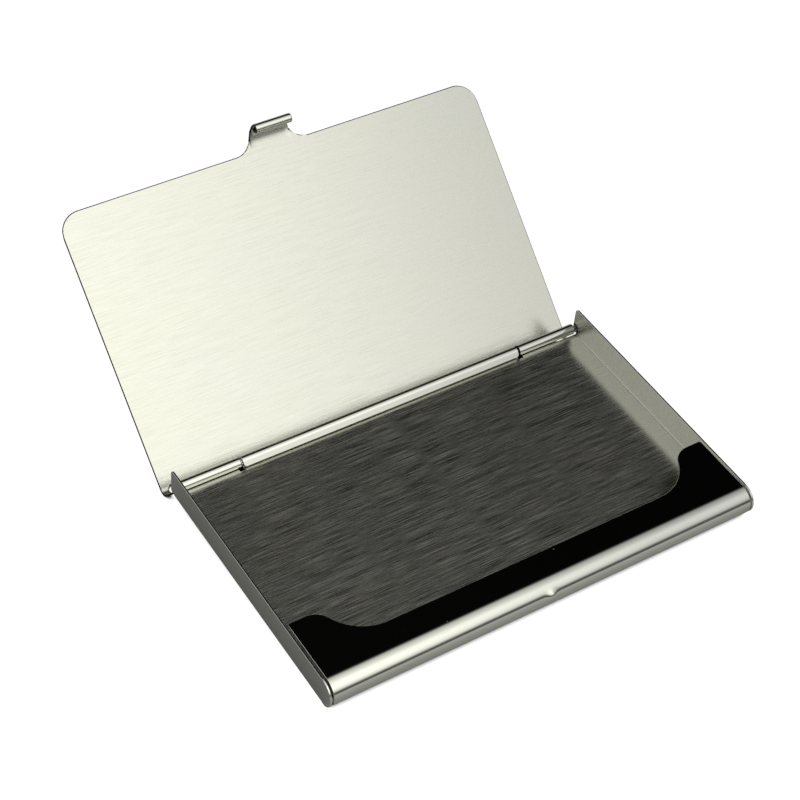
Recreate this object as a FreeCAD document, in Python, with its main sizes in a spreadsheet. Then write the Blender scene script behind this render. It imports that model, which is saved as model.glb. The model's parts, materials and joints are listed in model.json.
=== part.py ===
import FreeCAD, Part
import Sketcher
import math
import os

# Hinged business card case, bent from two stainless steel sheets and joined by one wire pin.
# Frame: millimetres, +Z up, X along the hinge, Y from the front roll (-Y) to the hinge (+Y).
# The origin is the middle of the tray's flat bottom. The lid is drawn closed and then swung open.

os.makedirs("parts", exist_ok=True)
doc = FreeCAD.newDocument("card_case")
vector = FreeCAD.Vector
diagonal = math.sqrt(0.5)

# ---------------------------------------------------------------- driving dimensions
dimensions = {
    "case_width": 94.0,          # over the tray's side walls
    "tray_height": 6.4,
    "front_reach": 29.3,         # origin to the front of the roll
    "wall_reach": 29.2,          # origin to the rear ends of the side walls
    "floor_reach": 27.4,         # origin to the floor's rear edge beside the knuckle
    "sheet": 0.4,                # both sheets
    "side_bend": 0.4,            # inner radius between floor and side walls
    "roll_gap": 0.45,            # roll and flap to each side wall
    "ear_reach": 12.8,           # origin forward to the rear edge of the flap's ears
    "strip_reach": 20.75,        # origin forward to the rear edge of the flap's middle strip
    "ear_corner": 40.16,         # half distance between the ears' sharp inner corners
    "strip_corner": 36.26,       # half length of the strip's rear edge, corner to corner
    "ear_round": 4.2,
    "ear_corner_round": 0.5,     # outer corners of the ears
    "strip_round": 9.6,
    "tip_round": 0.8,            # top rear corner of each side wall
    "hinge_reach": 29.0,         # origin to the hinge axis
    "pin_diameter": 1.3,
    "pin_clearance": 0.05,       # radial
    "pin_end_gap": 0.3,          # pin end to side wall
    "knuckle_half": 32.05,       # half length of the tray's middle knuckle
    "knuckle_gap": 0.3,          # between knuckles, and to the side walls
    "lip_length": 1.55,          # straight free end of the middle knuckle
    "lip_round": 0.6,
    "nub_height": 0.42,
    "nub_footprint": 1.2,        # radius of the nub where it leaves the roll
    "nub_lift": 0.95,            # nub above the roll's middle
    "lid_width": 94.7,
    "lid_gap": 0.08,             # closed lid to the side walls' top edges
    "lid_front": 26.9,           # origin forward to the lid plate's front edge
    "lid_corner": 4.5,
    "lid_bend": 1.2,             # inner radius of the lid's rear bend
    "flange_end": 3.7,           # height at which the corner flanges stop
    "cutaway_top": 2.9,          # height of the gap in the lid's rear wall
    "cutaway_round": 0.8,
    "relief_start": 28.55,       # origin to the round end of the relief slots
    "relief_inner": 44.6,
    "relief_outer": 45.75,
    "tab_half": 4.12,
    "tab_fillet": 4.1,
    "tab_reach": 31.7,           # origin to the outside of the hanging tab
    "tab_bend": 2.6,             # inner radius
    "hook_height": 2.8,          # middle of the rolled hook above the bottom
    "hook_radius": 0.95,
    "curl_angle": 300.0,         # how far the lid's knuckles and the hook are rolled round
    "open_angle": 138.8,         # how far the lid stands open at rest
}
sheet = doc.addObject("Spreadsheet::Sheet", "Dimensions")
for row, (alias, number) in enumerate(dimensions.items(), start=1):
    sheet.set(f"A{row}", alias)
    sheet.set(f"B{row}", str(number))
    sheet.setAlias(f"B{row}", alias)
doc.recompute()


class Size:
    """A length that knows its value and the spreadsheet formula that gives it."""

    def __init__(self, value, formula=None):
        self.value = float(value)
        self.formula = formula if formula else repr(float(value))

    def combine(self, other, sign, result):
        other = other if isinstance(other, Size) else Size(other)
        return Size(result(self.value, other.value), f"({self.formula} {sign} {other.formula})")

    def __add__(self, other):
        return self.combine(other, "+", lambda a, b: a + b)

    def __sub__(self, other):
        return self.combine(other, "-", lambda a, b: a - b)

    def __mul__(self, other):
        return self.combine(other, "*", lambda a, b: a * b)

    def __truediv__(self, other):
        return self.combine(other, "/", lambda a, b: a / b)

    def __neg__(self):
        return self * -1.0


def size(alias):
    return Size(sheet.get(alias), f"Dimensions.{alias}")


# ---------------------------------------------------------------- helpers
def plane(body, role):
    return next(item for item in body.Origin.OriginFeatures if item.Role == role)


def bind(item, prop, length):
    item.setExpression(prop, length.formula)


def new_sketch(body, name, role, offset=None):
    """Empty sketch on one of the body's origin planes, moved along the plane's normal by offset."""
    sketch = body.newObject("Sketcher::SketchObject", name)
    sketch.AttachmentSupport = [(plane(body, role), "")]
    sketch.MapMode = "FlatFace"
    if offset:
        bind(sketch, "AttachmentOffset.Base.z", offset)
    return sketch


def pin_to_place(sketch, line, corner):
    """Fixes a line's first end at its distance across and up from the sketch's origin."""
    for kind, length in (("DistanceX", corner[0]), ("DistanceY", corner[1])):
        index = sketch.addConstraint(Sketcher.Constraint(kind, -1, 1, line, 1, length.value))
        sketch.setExpression(f"Constraints[{index}]", length.formula)


def add_outline(sketch, corners):
    """Closed outline with straight edges, through corners given as (across, up)."""
    points = [vector(across.value, up.value, 0) for across, up in corners]
    ends = points[1:] + points[:1]
    lines = [sketch.addGeometry(Part.LineSegment(start, end)) for start, end in zip(points, ends)]
    for here, corner in enumerate(corners):
        sketch.addConstraint(Sketcher.Constraint("Coincident", lines[here - 1], 2, lines[here], 1))
        pin_to_place(sketch, lines[here], corner)


def rectangle(left, right, bottom, top):
    return [(left, bottom), (right, bottom), (right, top), (left, top)]


def mirrored(corners):
    """The same outline on the other side of the middle plane."""
    return [(-across, up) for across, up in corners]


def extrude(body, kind, name, sketch, length, symmetric=False, backwards=False):
    """Pads or pockets a sketch and makes sure that the solid's volume changed the right way."""
    volume = body.Shape.Volume if body.Tip else 0.0
    feature = body.newObject(f"PartDesign::{kind}", name)
    feature.Profile = sketch
    feature.Reversed = backwards
    if symmetric:
        feature.SideType = "Symmetric"
    bind(feature, "Length", length)
    doc.recompute()
    change = body.Shape.Volume - volume
    if change * (1 if kind == "Pad" else -1) <= 1e-6:
        raise RuntimeError(f"{name} changes the volume by {change}")
    return feature


def cylinder_along_x(body, kind, name, radius, start, length, across, up, first_angle=0.0, sweep=None):
    """Round bar along X. The sweep starts at first_angle, counted from +Y towards +Z."""
    bar = body.newObject(f"PartDesign::{kind}Cylinder", name)
    turn = FreeCAD.Rotation(vector(1, 0, 0), first_angle + 90) * FreeCAD.Rotation(vector(0, 1, 0), 90)
    bar.Placement = FreeCAD.Placement(vector(start.value, across.value, up.value), turn)
    bind(bar, "Radius", radius)
    bind(bar, "Height", length)
    bind(bar, "Placement.Base.x", start)
    bind(bar, "Placement.Base.y", across)
    bind(bar, "Placement.Base.z", up)
    if sweep:
        bind(bar, "Angle", sweep)
    doc.recompute()
    return bar


def drill_down(body, name, radius, across, along, bottom=None):
    """Upright round hole at (across, along), from the bottom height up through everything above."""
    hole = body.newObject("PartDesign::SubtractiveCylinder", name)
    bind(hole, "Radius", radius)
    bind(hole, "Height", height * 2)
    bind(hole, "Placement.Base.x", across)
    bind(hole, "Placement.Base.y", along)
    if bottom:
        bind(hole, "Placement.Base.z", bottom)
    doc.recompute()
    return hole


def ball(body, kind, name, radius, across, up):
    item = body.newObject(f"PartDesign::{kind}Sphere", name)
    bind(item, "Radius", radius)
    bind(item, "Placement.Base.y", across)
    bind(item, "Placement.Base.z", up)
    doc.recompute()
    return item


def round_edges(body, name, radius, middles, both_sides=False):
    """Rounds the edges whose midpoints are given as (x, y, z), and their mirror images across X."""
    solid = body.Tip
    places = [vector(x.value, y.value, z.value) for x, y, z in middles]
    if both_sides:
        places += [vector(-place.x, place.y, place.z) for place in places]
    edges = []
    for place in places:
        distances = [(edge.CenterOfMass - place).Length for edge in solid.Shape.Edges]
        nearest = min(distances)
        if nearest > 0.2:
            raise RuntimeError(f"{name}: no edge within 0.2 mm of {place}, the nearest is {nearest:.2f} away")
        edges.append(f"Edge{distances.index(nearest) + 1}")
    fillet = body.newObject("PartDesign::Fillet", name)
    fillet.Base = (solid, edges)
    bind(fillet, "Radius", radius)
    doc.recompute()
    return fillet


# ---------------------------------------------------------------- shared sizes
thick = size("sheet")
half_width = size("case_width") / 2
height = size("tray_height")
wall_inner = half_width - thick
front = -size("front_reach")
roll_radius = height / 2
roll_bore = roll_radius - thick
roll_center = front + roll_radius
roll_half = wall_inner - size("roll_gap")
hinge_y = size("hinge_reach")
pin_radius = size("pin_diameter") / 2
curl_bore = pin_radius + size("pin_clearance")
curl_radius = curl_bore + thick
hinge_z = curl_radius
beyond = Size(3.0)


# ---------------------------------------------------------------- tray
def make_tray():
    """One sheet: floor, side walls, front roll with the card flap, and the middle knuckle."""
    body = doc.addObject("PartDesign::Body", "tray")
    body.Label = "tray"

    # floor, half-round roll at the front and flap back over the top
    roll_length = roll_half * 2
    floor_section = new_sketch(body, "floor_section", "YZ_Plane")
    add_outline(floor_section, rectangle(roll_center, size("floor_reach"), Size(0), thick))
    extrude(body, "Pad", "floor", floor_section, roll_length, symmetric=True)
    cylinder_along_x(body, "Additive", "roll", roll_radius, -roll_half, roll_length,
                     roll_center, roll_radius, 90.0, Size(180.0))
    cylinder_along_x(body, "Subtractive", "roll_bore", roll_bore, -roll_half, roll_length,
                     roll_center, roll_radius)
    flap_section = new_sketch(body, "flap_section", "YZ_Plane")
    flap_end = -size("ear_reach") + beyond
    add_outline(flap_section, rectangle(roll_center, flap_end, height - thick, height))
    extrude(body, "Pad", "flap", flap_section, roll_length, symmetric=True)

    # rear edge of the flap: an ear at each end and a narrow strip between them
    plan = new_sketch(body, "flap_edge_plan", "XY_Plane", height / 2)
    ear_line = -size("ear_reach")
    strip_line = -size("strip_reach")
    right_half = [
        (size("strip_corner"), strip_line),
        (size("ear_corner"), ear_line),
        (half_width, ear_line),
        (half_width, ear_line + beyond * 2),
    ]
    add_outline(plan, mirrored(right_half)[::-1] + right_half)
    extrude(body, "Pocket", "flap_edge", plan, height, backwards=True)
    flap_middle = height - thick / 2
    round_edges(body, "ear_rounds", size("ear_round"),
                [(size("ear_corner"), ear_line, flap_middle)], both_sides=True)
    round_edges(body, "strip_rounds", size("strip_round"),
                [(size("strip_corner"), strip_line, flap_middle)], both_sides=True)
    round_edges(body, "ear_corners", size("ear_corner_round"), [(roll_half, ear_line, flap_middle)],
                both_sides=True)

    # latch nub: a dimple pressed outwards through the roll
    nub_radius = (size("nub_footprint") * size("nub_footprint")
                  + size("nub_height") * size("nub_height")) / (size("nub_height") * 2)
    stand_off = (roll_radius + size("nub_height") - nub_radius) / roll_radius
    lift = size("nub_lift")
    set_back = math.sqrt(roll_radius.value ** 2 - lift.value ** 2)
    nub_y = roll_center - stand_off * set_back
    nub_z = roll_radius + stand_off * lift
    ball(body, "Additive", "nub", nub_radius, nub_y, nub_z)
    cylinder_along_x(body, "Subtractive", "roll_bore_again", roll_bore, -beyond, beyond * 2,
                     roll_center, roll_radius)
    ball(body, "Subtractive", "nub_dimple", nub_radius - thick, nub_y, nub_z)

    # side walls: bend, flat wall and half-round front end
    bend_outer = size("side_bend") + thick
    wall_foot = wall_inner - bend_outer * 2
    bend_end = size("wall_reach") - bend_outer
    bend_length = bend_end - roll_center
    bend_middle = roll_center + bend_length / 2
    for side, sign in (("right", 1.0), ("left", -1.0)):
        bend_section = new_sketch(body, f"{side}_bend_section", "XZ_Plane", -bend_end)
        add_outline(bend_section, [
            (wall_foot * sign, Size(0)),
            (half_width * sign, Size(0)),
            (half_width * sign, bend_outer * 2),
            (wall_inner * sign, bend_outer * 2),
            (wall_inner * sign, thick),
            (wall_foot * sign, thick),
        ])
        extrude(body, "Pad", f"{side}_bend", bend_section, bend_length)
        round_edges(body, f"{side}_bend_outside", bend_outer,
                    [(half_width * sign, bend_middle, Size(0))])
        round_edges(body, f"{side}_bend_inside", size("side_bend"),
                    [(wall_inner * sign, bend_middle, thick)])
        wall_start = wall_inner if side == "right" else -half_width
        wall_outline = new_sketch(body, f"{side}_wall_outline", "YZ_Plane", wall_start)
        add_outline(wall_outline, rectangle(roll_center, size("wall_reach"), bend_outer, height))
        extrude(body, "Pad", f"{side}_wall", wall_outline, thick)
        round_edges(body, f"{side}_wall_tip", size("tip_round"),
                    [((half_width - thick / 2) * sign, size("wall_reach"), height)])
        cylinder_along_x(body, "Additive", f"{side}_wall_front_end", roll_radius, wall_start, thick,
                         roll_center, roll_radius, 90.0, Size(180.0))

    # room for the lid's knuckles: the floor stops short behind, beside the middle knuckle
    clear_half = size("knuckle_half") + size("knuckle_gap")
    room = new_sketch(body, "knuckle_room_plan", "XY_Plane")
    right_room = rectangle(clear_half, wall_inner, size("floor_reach"), size("wall_reach") + beyond)
    add_outline(room, right_room)
    add_outline(room, mirrored(right_room))
    extrude(body, "Pocket", "knuckle_room", room, height / 4, backwards=True)

    # middle knuckle: the floor runs on, curls up over the pin and ends in a straight lip
    knuckle_length = size("knuckle_half") * 2
    run = new_sketch(body, "knuckle_floor_section", "YZ_Plane")
    add_outline(run, rectangle(size("floor_reach") - thick, hinge_y, Size(0), thick))
    extrude(body, "Pad", "knuckle_floor", run, knuckle_length, symmetric=True)
    cylinder_along_x(body, "Additive", "knuckle_curl", curl_radius, -size("knuckle_half"), knuckle_length,
                     hinge_y, hinge_z, -90.0, Size(225.0))
    cylinder_along_x(body, "Subtractive", "knuckle_bore", curl_bore, -half_width + beyond,
                     (half_width - beyond) * 2, hinge_y, hinge_z)
    lip_section = new_sketch(body, "knuckle_lip_section", "YZ_Plane")
    outer_y = hinge_y - curl_radius * diagonal
    outer_z = hinge_z + curl_radius * diagonal
    inner_y = hinge_y - curl_bore * diagonal
    inner_z = hinge_z + curl_bore * diagonal
    drop = size("lip_length") * diagonal
    add_outline(lip_section, [
        (outer_y, outer_z),
        (outer_y - drop, outer_z - drop),
        (inner_y - drop, inner_z - drop),
        (inner_y, inner_z),
    ])
    extrude(body, "Pad", "knuckle_lip", lip_section, knuckle_length, symmetric=True)
    round_edges(body, "lip_corners", size("lip_round"),
                [(size("knuckle_half"), (outer_y + inner_y) / 2 - drop, (outer_z + inner_z) / 2 - drop)],
                both_sides=True)
    return body


# ---------------------------------------------------------------- lid
def make_lid():
    """One sheet: flat plate, rear wall with two knuckles, corner flanges, and the hooked front tab."""
    body = doc.addObject("PartDesign::Body", "lid")
    body.Label = "lid"
    under = height + size("lid_gap")
    top = under + thick
    rear = hinge_y + curl_radius
    plate_front = -size("lid_front")
    lid_half = size("lid_width") / 2

    # plate and rear wall
    section = new_sketch(body, "plate_and_rear_wall_section", "YZ_Plane")
    add_outline(section, [
        (plate_front, under),
        (plate_front, top),
        (rear, top),
        (rear, hinge_z),
        (rear - thick, hinge_z),
        (rear - thick, under),
    ])
    extrude(body, "Pad", "plate_and_rear_wall", section, size("lid_width"), symmetric=True)
    round_edges(body, "rear_bend_outside", size("lid_bend") + thick, [(Size(0), rear, top)])
    round_edges(body, "rear_bend_inside", size("lid_bend"), [(Size(0), rear - thick, under)])
    round_edges(body, "plate_corners", size("lid_corner"),
                [(lid_half, plate_front, top - thick / 2)], both_sides=True)

    # knuckles rolled under the pin and back up in front of it
    gap_half = size("knuckle_half") + size("knuckle_gap")
    knuckle_end = wall_inner - size("knuckle_gap")
    first_angle = 360.0 - size("curl_angle").value
    for side, start in (("left", -knuckle_end), ("right", gap_half)):
        cylinder_along_x(body, "Additive", f"{side}_knuckle", curl_radius, start, knuckle_end - gap_half,
                         hinge_y, hinge_z, first_angle, size("curl_angle"))
    cylinder_along_x(body, "Subtractive", "knuckle_bores", curl_bore, -half_width, half_width * 2,
                     hinge_y, hinge_z)

    # the rear wall is cut away over the tray's knuckle and stops as a short flange at each corner
    trims = new_sketch(body, "rear_wall_trims", "XZ_Plane")
    below = -beyond
    add_outline(trims, rectangle(-gap_half, gap_half, below, size("cutaway_top")))
    above_curl = curl_radius * 2 + thick / 4
    right_corner = [
        (size("relief_outer"), above_curl),
        (size("relief_outer"), size("flange_end")),
        (half_width + beyond, size("flange_end")),
        (half_width + beyond, below),
        (knuckle_end, below),
        (knuckle_end, above_curl),
    ]
    add_outline(trims, right_corner)
    add_outline(trims, mirrored(right_corner))
    extrude(body, "Pocket", "rear_wall_edges", trims, rear + beyond)
    round_edges(body, "cutaway_corners", size("cutaway_round"),
                [(gap_half, rear - thick / 2, size("cutaway_top"))], both_sides=True)

    # relief slots through the rear bend, between the knuckles and the corner flanges
    slots = new_sketch(body, "relief_slot_plan", "XY_Plane", above_curl)
    slot_radius = (size("relief_outer") - size("relief_inner")) / 2
    slot_middle = (size("relief_outer") + size("relief_inner")) / 2
    slot_center = size("relief_start") + slot_radius
    right_slot = rectangle(size("relief_inner"), size("relief_outer"), slot_center, rear + beyond)
    add_outline(slots, right_slot)
    add_outline(slots, mirrored(right_slot))
    extrude(body, "Pocket", "relief_slots", slots, height, backwards=True)
    for side, across in (("right", slot_middle), ("left", -slot_middle)):
        drill_down(body, f"{side}_slot_end", slot_radius, across, slot_center, above_curl)

    # front tab: bends down over the roll and ends in a small rolled hook
    tab_face = -size("tab_reach")
    tab_root = size("tab_half") + size("tab_fillet")
    tab_section = new_sketch(body, "tab_section", "YZ_Plane")
    add_outline(tab_section, [
        (plate_front + thick, under),
        (plate_front + thick, top),
        (tab_face, top),
        (tab_face, size("hook_height")),
        (tab_face + thick, size("hook_height")),
        (tab_face + thick, under),
    ])
    extrude(body, "Pad", "tab", tab_section, tab_root * 2, symmetric=True)
    round_edges(body, "tab_bend_outside", size("tab_bend") + thick, [(Size(0), tab_face, top)])
    round_edges(body, "tab_bend_inside", size("tab_bend"), [(Size(0), tab_face + thick, under)])
    plan = new_sketch(body, "tab_plan", "XY_Plane")
    fillet_end = plate_front - size("tab_fillet")
    right_side = rectangle(size("tab_half"), tab_root + beyond, tab_face - beyond, fillet_end)
    add_outline(plan, right_side)
    add_outline(plan, mirrored(right_side))
    extrude(body, "Pocket", "tab_sides", plan, height * 2, backwards=True)
    for side, across in (("right", tab_root), ("left", -tab_root)):
        drill_down(body, f"{side}_tab_fillet", size("tab_fillet"), across, fillet_end)
    hook_y = tab_face + size("hook_radius")
    tab_width = size("tab_half") * 2
    cylinder_along_x(body, "Additive", "hook", size("hook_radius"), -size("tab_half"), tab_width,
                     hook_y, size("hook_height"), 180.0, size("curl_angle"))
    cylinder_along_x(body, "Subtractive", "hook_bore", size("hook_radius") - thick, -size("tab_half"),
                     tab_width, hook_y, size("hook_height"))

    # swung open about the hinge axis
    swing = FreeCAD.Rotation(vector(1, 0, 0), -size("open_angle").value)
    hinge = vector(0, hinge_y.value, hinge_z.value)
    body.Placement = FreeCAD.Placement(vector(0, 0, 0), swing, hinge)
    return body


# ---------------------------------------------------------------- hinge pin
def make_hinge_pin():
    """Straight wire through all three knuckles, held endways by the side walls."""
    pin = doc.addObject("Part::Cylinder", "hinge_pin")
    pin.Label = "hinge_pin"
    pin_half = wall_inner - size("pin_end_gap")
    pin.Placement = FreeCAD.Placement(vector(-pin_half.value, hinge_y.value, hinge_z.value),
                                      FreeCAD.Rotation(vector(0, 1, 0), 90))
    bind(pin, "Radius", pin_radius)
    bind(pin, "Height", pin_half * 2)
    bind(pin, "Placement.Base.x", -pin_half)
    bind(pin, "Placement.Base.y", hinge_y)
    bind(pin, "Placement.Base.z", hinge_z)
    return pin


pieces = [make_tray(), make_lid(), make_hinge_pin()]
doc.recompute()
failed = [item.Label for item in doc.Objects if "Invalid" in item.State or "Error" in item.State]
if failed:
    raise RuntimeError(f"failed objects: {failed}")
for piece in pieces:
    if piece.Shape.isNull() or not piece.Shape.isValid() or len(piece.Shape.Solids) != 1:
        raise RuntimeError(f"{piece.Label}: not one valid solid ({len(piece.Shape.Solids)} solids)")
for piece in pieces:
    piece.Shape.exportStep(f"parts/{piece.Label}.step")
    box = piece.Shape.BoundBox
    print(f"{piece.Label}: {piece.Shape.Volume:.1f} mm3, "
          f"X {box.XMin:.2f}..{box.XMax:.2f}, Y {box.YMin:.2f}..{box.YMax:.2f}, Z {box.ZMin:.2f}..{box.ZMax:.2f}")
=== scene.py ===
import bmesh
import bpy
import json
import math
import numpy as np
from mathutils import Matrix, Vector


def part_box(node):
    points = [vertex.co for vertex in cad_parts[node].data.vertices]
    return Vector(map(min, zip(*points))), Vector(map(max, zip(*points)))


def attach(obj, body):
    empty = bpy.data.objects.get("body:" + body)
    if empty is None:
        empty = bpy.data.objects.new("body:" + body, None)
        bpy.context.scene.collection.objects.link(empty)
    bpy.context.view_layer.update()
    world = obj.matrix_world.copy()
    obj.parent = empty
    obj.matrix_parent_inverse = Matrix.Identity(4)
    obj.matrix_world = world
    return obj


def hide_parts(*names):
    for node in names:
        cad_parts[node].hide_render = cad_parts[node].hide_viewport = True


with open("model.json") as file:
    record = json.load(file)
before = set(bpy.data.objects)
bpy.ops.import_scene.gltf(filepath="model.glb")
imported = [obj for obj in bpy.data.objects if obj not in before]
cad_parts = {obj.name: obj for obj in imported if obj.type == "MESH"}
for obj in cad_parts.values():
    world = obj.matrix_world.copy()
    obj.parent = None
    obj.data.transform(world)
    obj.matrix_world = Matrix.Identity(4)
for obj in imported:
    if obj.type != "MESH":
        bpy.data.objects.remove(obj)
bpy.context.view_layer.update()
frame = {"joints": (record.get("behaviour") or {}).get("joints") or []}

# Hinged steel card case, standing open. Sheets are worked out in millimetres and stored in metres.
mm = 0.001
joint = frame["joints"][0]
hinge = np.array(joint["pos_m"]) / mm
openAngle = math.radians(joint["range_deg"][1])
trayLow, trayHigh = (np.array(corner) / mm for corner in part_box("tray"))
lidHigh = np.array(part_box("lid")[1]) / mm
pinLow, pinHigh = (np.array(corner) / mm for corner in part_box("hinge_pin"))
curlRadius = hinge[2]                    # knuckles stand on the tray's bottom plane
mapScale = 0.01                          # sheet maps: one unit is 100 mm of flat sheet
sameSpot = 0.002                         # points closer than this are welded
sharpCorner = math.radians(40)           # edges that turn more than this get rounded
print("frame: tray", np.round(trayHigh - trayLow, 2), "lid open", joint["range_deg"][1])


def makePath(start, heading, runs):
    # path in a plane, made of runs (length, turn): straight where turn is 0, else an arc turning that
    # many degrees over its length. "at" gives the point at any distance s along the path
    lengths = np.array([length for length, turn in runs], float)
    bends = np.radians([turn for length, turn in runs]) / lengths
    starts = np.concatenate([[0.0], np.cumsum(lengths)])
    points = [np.array(start, float)]
    headings = [math.radians(heading)]

    def advance(point, angle, bend, s):
        # straight: point + s * direction. arc: the direction is integrated while it turns evenly
        turning = np.where(np.abs(bend) > 1e-9, bend, 1.0)
        across = (np.sin(angle + bend * s) - np.sin(angle)) / turning
        up = (np.cos(angle) - np.cos(angle + bend * s)) / turning
        straight = np.abs(bend) <= 1e-9
        return np.stack([point[..., 0] + np.where(straight, s * np.cos(angle), across),
                         point[..., 1] + np.where(straight, s * np.sin(angle), up)], -1)

    for length, bend in zip(lengths, bends):
        points.append(advance(points[-1], headings[-1], bend, length))
        headings.append(headings[-1] + bend * length)
    points = np.array(points)
    headings = np.array(headings)

    def at(s):
        run = np.clip(np.searchsorted(starts, s, side="right") - 1, 0, len(lengths) - 1)
        return advance(points[run], headings[run], bends[run], s - starts[run])

    return {"at": at, "marks": starts}


def roundedLine(corners, radii, stepDegrees=6.0):
    # open line through the corners, each inner corner rounded by an arc touching both its sides
    corners = [np.array(c, float) for c in corners]
    line = [corners[0]]
    for before, corner, after, radius in zip(corners, corners[1:], corners[2:], radii):
        toBefore = (before - corner) / np.linalg.norm(before - corner)
        toAfter = (after - corner) / np.linalg.norm(after - corner)
        half = math.acos(np.clip(toBefore @ toAfter, -1, 1)) / 2
        inward = toBefore + toAfter
        middle = corner + inward / np.linalg.norm(inward) * radius / math.sin(half)
        spokes = [corner + side * radius / math.tan(half) - middle for side in (toBefore, toAfter)]
        angles = [math.atan2(spoke[1], spoke[0]) for spoke in spokes]
        sweep = (angles[1] - angles[0] + math.pi) % (2 * math.pi) - math.pi
        count = max(3, math.ceil(abs(math.degrees(sweep)) / stepDegrees))
        turn = angles[0] + sweep * np.linspace(0, 1, count + 1)
        line += list(middle + radius * np.stack([np.cos(turn), np.sin(turn)], -1))
    line.append(corners[-1])
    return np.array(line)


def strip(path, across, begin, end, count):
    # columns at x = across, each running along the path from begin to end in count steps:
    # point (i, j) is the path's point at begin + (end - begin) * j / count, in column i
    begin = np.broadcast_to(begin, across.shape)
    end = np.broadcast_to(end, across.shape)
    share = np.linspace(0, 1, count + 1)
    s = begin[:, None] + (end - begin)[:, None] * share[None, :]
    section = path["at"](s)
    x = np.broadcast_to(across[:, None], s.shape)
    return {"points": np.stack([x, section[..., 0], section[..., 1]], -1), "flat": np.stack([s, x], -1)}


def sheetPiece(name, strips, outward, thickness, edgeRound, materials, transform=None):
    # one bent sheet from the strips of its right half and their mirror images: grid quads, welded along
    # shared lines, given the sheet's thickness about its middle surface, and rounded at its cut edges.
    # materials: outside, inside, cut edge, then outside and inside of strips whose slot is 3
    points, flats, faces, slots = [], [], [], []
    total = 0
    for piece in strips:
        columns, rows = piece["points"].shape[:2]
        index = np.arange(columns * rows).reshape(columns, rows) + total
        quads = np.stack([index[:-1, :-1], index[1:, :-1], index[1:, 1:], index[:-1, 1:]], -1)
        quads = quads.reshape(-1, 4)
        if not outward:
            quads = quads[:, ::-1]
        points.append(piece["points"].reshape(-1, 3))
        flats.append(piece["flat"].reshape(-1, 2))
        faces.append(quads)
        slots.append(np.full(len(quads), piece.get("slot", 0)))
        total += columns * rows
    points = np.concatenate(points)
    flats = np.concatenate(flats)
    faces = np.concatenate(faces)
    points = np.concatenate([points, points * (-1, 1, 1)])
    flats = np.concatenate([flats, flats * (1, -1)])
    faces = np.concatenate([faces, faces[:, ::-1] + total])
    slots = np.concatenate(slots * 2)
    if transform is not None:
        points = transform(points)

    mesh = bpy.data.meshes.new(name)
    mesh.from_pydata(points * mm, [], faces)
    layer = mesh.uv_layers.new(name="sheet")
    corners = np.zeros(len(mesh.loops), int)
    mesh.loops.foreach_get("vertex_index", corners)
    layer.data.foreach_set("uv", flats[corners].ravel() * mapScale)
    mesh.polygons.foreach_set("material_index", slots)
    mesh.shade_smooth()
    work = bmesh.new()
    work.from_mesh(mesh)
    bmesh.ops.remove_doubles(work, verts=work.verts, dist=sameSpot * mm)
    bmesh.ops.dissolve_degenerate(work, edges=work.edges, dist=sameSpot * mm)
    work.to_mesh(mesh)
    work.free()
    for material in materials:
        mesh.materials.append(material)
    piece = bpy.data.objects.new(name, mesh)
    bpy.context.scene.collection.objects.link(piece)

    wall = piece.modifiers.new("thickness", "SOLIDIFY")
    wall.thickness = thickness * mm
    wall.offset = 0.0
    wall.use_even_offset = True
    wall.material_offset = 1              # one slot further on for the inside, two for the cut edges
    wall.material_offset_rim = 2
    edge = piece.modifiers.new("cutEdges", "BEVEL")
    edge.width = edgeRound * mm
    edge.segments = 2
    edge.use_clamp_overlap = False
    edge.limit_method = "ANGLE"
    edge.angle_limit = sharpCorner
    edge.harden_normals = True
    edge.material = 2
    return piece


def lines(*stops):
    # column places: (start, step) pairs, closed by the last place
    places = []
    for (start, step), nextStop in zip(stops[:-1], stops[1:]):
        end = nextStop[0] if isinstance(nextStop, tuple) else nextStop
        places.append(np.linspace(start, end, max(1, round((end - start) / step)) + 1)[:-1])
    places.append([stops[-1]])
    return np.concatenate(places)


def thinOut(places, gap, kept):
    # columns far enough apart for the edge rounding: kept ones stay, others need the gap to all chosen
    chosen = list(kept)
    for place in places:
        if np.abs(np.array(chosen) - place).min() > gap:
            chosen.append(place)
    return np.unique(np.round(chosen, 5))


def addNode(tree, kind, place, **settings):
    node = tree.nodes.new(kind)
    node.location = place
    for key, value in settings.items():
        setattr(node, key, value)
    return node


def mathNode(tree, operation, place, first, second=None, clamp=False):
    node = addNode(tree, "ShaderNodeMath", place, operation=operation, use_clamp=clamp)
    for slot, value in enumerate((first, second)):
        if value is None:
            continue
        if isinstance(value, (int, float)):
            node.inputs[slot].default_value = value
        else:
            tree.links.new(value, node.inputs[slot])
    return node.outputs[0]


def fillRamp(ramp, stops):
    # stops: (position, grey) or (position, (red, green, blue))
    while len(ramp.elements) > 1:
        ramp.elements.remove(ramp.elements[-1])
    for number, (position, value) in enumerate(stops):
        stop = ramp.elements[0] if number == 0 else ramp.elements.new(position)
        stop.position = position
        stop.color = (*value, 1) if isinstance(value, tuple) else (value, value, value, 1)


def stretchedNoise(tree, vector, scale, place, detail, roughness):
    # scale: how many noise cells in one unit of the sheet map, across the brushing and along it
    mapping = addNode(tree, "ShaderNodeMapping", place)
    mapping.inputs["Scale"].default_value = (*scale, 1)
    tree.links.new(vector, mapping.inputs["Vector"])
    noise = addNode(tree, "ShaderNodeTexNoise", (place[0] + 200, place[1]))
    noise.inputs["Scale"].default_value = 1.0
    noise.inputs["Detail"].default_value = detail
    noise.inputs["Roughness"].default_value = roughness
    tree.links.new(mapping.outputs[0], noise.inputs["Vector"])
    return noise.outputs["Fac"]


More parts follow.
